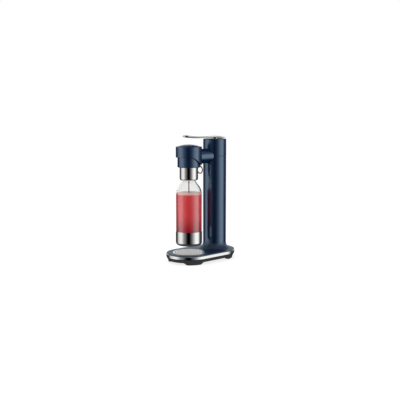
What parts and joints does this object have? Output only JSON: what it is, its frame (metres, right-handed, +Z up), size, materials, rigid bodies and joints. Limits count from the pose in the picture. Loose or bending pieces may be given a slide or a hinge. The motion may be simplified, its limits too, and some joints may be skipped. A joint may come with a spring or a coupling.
{
  "type": "soda carbonator",
  "caption": "Lever-pressed soda carbonator: round gas column on an oval base with a drip tray, and an arm whose head holds a clear bottle by a removable cap.",
  "frame": {"origin": "centre of the base's footprint, on the surface it stands on", "axes": "+Z up, -Y towards the bottle and the lever's tip, +X to the right seen from the front"},
  "size_m": [0.153, 0.266, 0.428],
  "materials": {
    "navy_shell": "navy paint over moulded shells, satin",
    "polished_steel": "mirror polished",
    "dark_abs": "fine moulded grain",
    "black_rubber": "moulded rubber",
    "machined_brass": "turned brass",
    "plain_steel": "zinc-plated steel",
    "dark_wire": "dark coated steel",
    "bare_aluminium": "brushed aluminium",
    "clear_bottle": "clear moulded copolyester",
    "red_drink": "red fruit drink"
  },
  "bodies": {
    "stand": {"base_deck": "navy_shell", "column_shell": "navy_shell", "column_head": "navy_shell", "arm_shell": "navy_shell", "head_housing": "navy_shell", "head_lid": "navy_shell", "base_trim_band": "polished_steel", "base_pan": "dark_abs", "cylinder_seat": "dark_abs", "dock_plate": "dark_abs", "rubber_feet": "black_rubber", "dock_seal": "black_rubber", "valve_seal": "black_rubber", "gas_hose": "black_rubber", "valve_block": "machined_brass", "cylinder_valve": "machined_brass", "dock_block": "machined_brass", "dock_nozzle": "machined_brass", "hose_fittings": "machined_brass", "base_screws": "plain_steel", "bracket_screws": "plain_steel", "lever_pivot_pin": "plain_steel", "pivot_bracket": "plain_steel", "return_spring": "plain_steel", "gas_cylinder": "bare_aluminium"},
    "lever": {"lever": "polished_steel", "lever_lug": "plain_steel"},
    "plunger": {"press_plunger": "plain_steel", "valve_pin": "plain_steel"},
    "rear_cover": {"rear_cover": "navy_shell"},
    "drip_tray": {"drip_basin": "dark_abs"},
    "drip_grid": {"drip_grid": "polished_steel"},
    "cap": {"cap_body": "navy_shell", "cap_collar": "polished_steel", "cap_liner": "dark_abs", "cap_gasket": "black_rubber", "cap_core": "dark_abs", "check_valve": "machined_brass", "carbonation_tube": "dark_wire", "tube_tip": "dark_wire", "relief_valve_body": "machined_brass", "relief_spring": "plain_steel"},
    "relief_stem": {"relief_stem": "plain_steel"},
    "pull_ring": {"pull_ring": "dark_wire"},
    "bottle": {"bottle": "clear_bottle", "bottle_base_cup": "polished_steel", "drink": "red_drink"}
  },
  "joints": [
    {"name": "lever_press", "type": "hinge", "parent": "stand", "child": "lever", "pos_m": [0, 0.094, 0.405], "axis": [1, 0, 0], "range_deg": [0, 3.5], "stiffness_Nm_per_rad": 4, "springref_deg": -5.73},
    {"name": "plunger_stroke", "type": "slide", "parent": "stand", "child": "plunger", "axis": [0, 0, -1], "range_m": [0, 0.0017], "deforming": ["return_spring"]},
    {"name": "rear_cover_pull", "type": "slide", "parent": "stand", "child": "rear_cover", "axis": [0, 1, 0], "range_m": [0, 0.06]},
    {"name": "drip_tray_lift", "type": "slide", "parent": "stand", "child": "drip_tray", "axis": [0, 0, 1], "range_m": [0, 0.005]},
    {"name": "drip_grid_lift", "type": "slide", "parent": "drip_tray", "child": "drip_grid", "axis": [0, 0, 1], "range_m": [0, 0.005]},
    {"name": "cap_drop", "type": "slide", "parent": "stand", "child": "cap", "axis": [0, 0, -1], "range_m": [0, 0.014]},
    {"name": "bottle_turn", "type": "hinge", "parent": "cap", "child": "bottle", "pos_m": [0, -0.0565, 0.29], "axis": [0, 0, 1], "range_deg": [-90, 0]},
    {"name": "relief_pull", "type": "slide", "parent": "cap", "child": "relief_stem", "axis": [0, 1, 0], "range_m": [0, 0.0025], "stiffness_N_per_m": 600, "springref_m": -0.002},
    {"name": "ring_swing", "type": "hinge", "parent": "relief_stem", "child": "pull_ring", "pos_m": [0, -0.0045, 0.32], "axis": [1, 0, 0], "range_deg": [-35, 35]}
  ],
  "couplings": [
    {"joint": "plunger_stroke", "follows": "lever_press", "m_per_rad": 0.027}
  ]
}
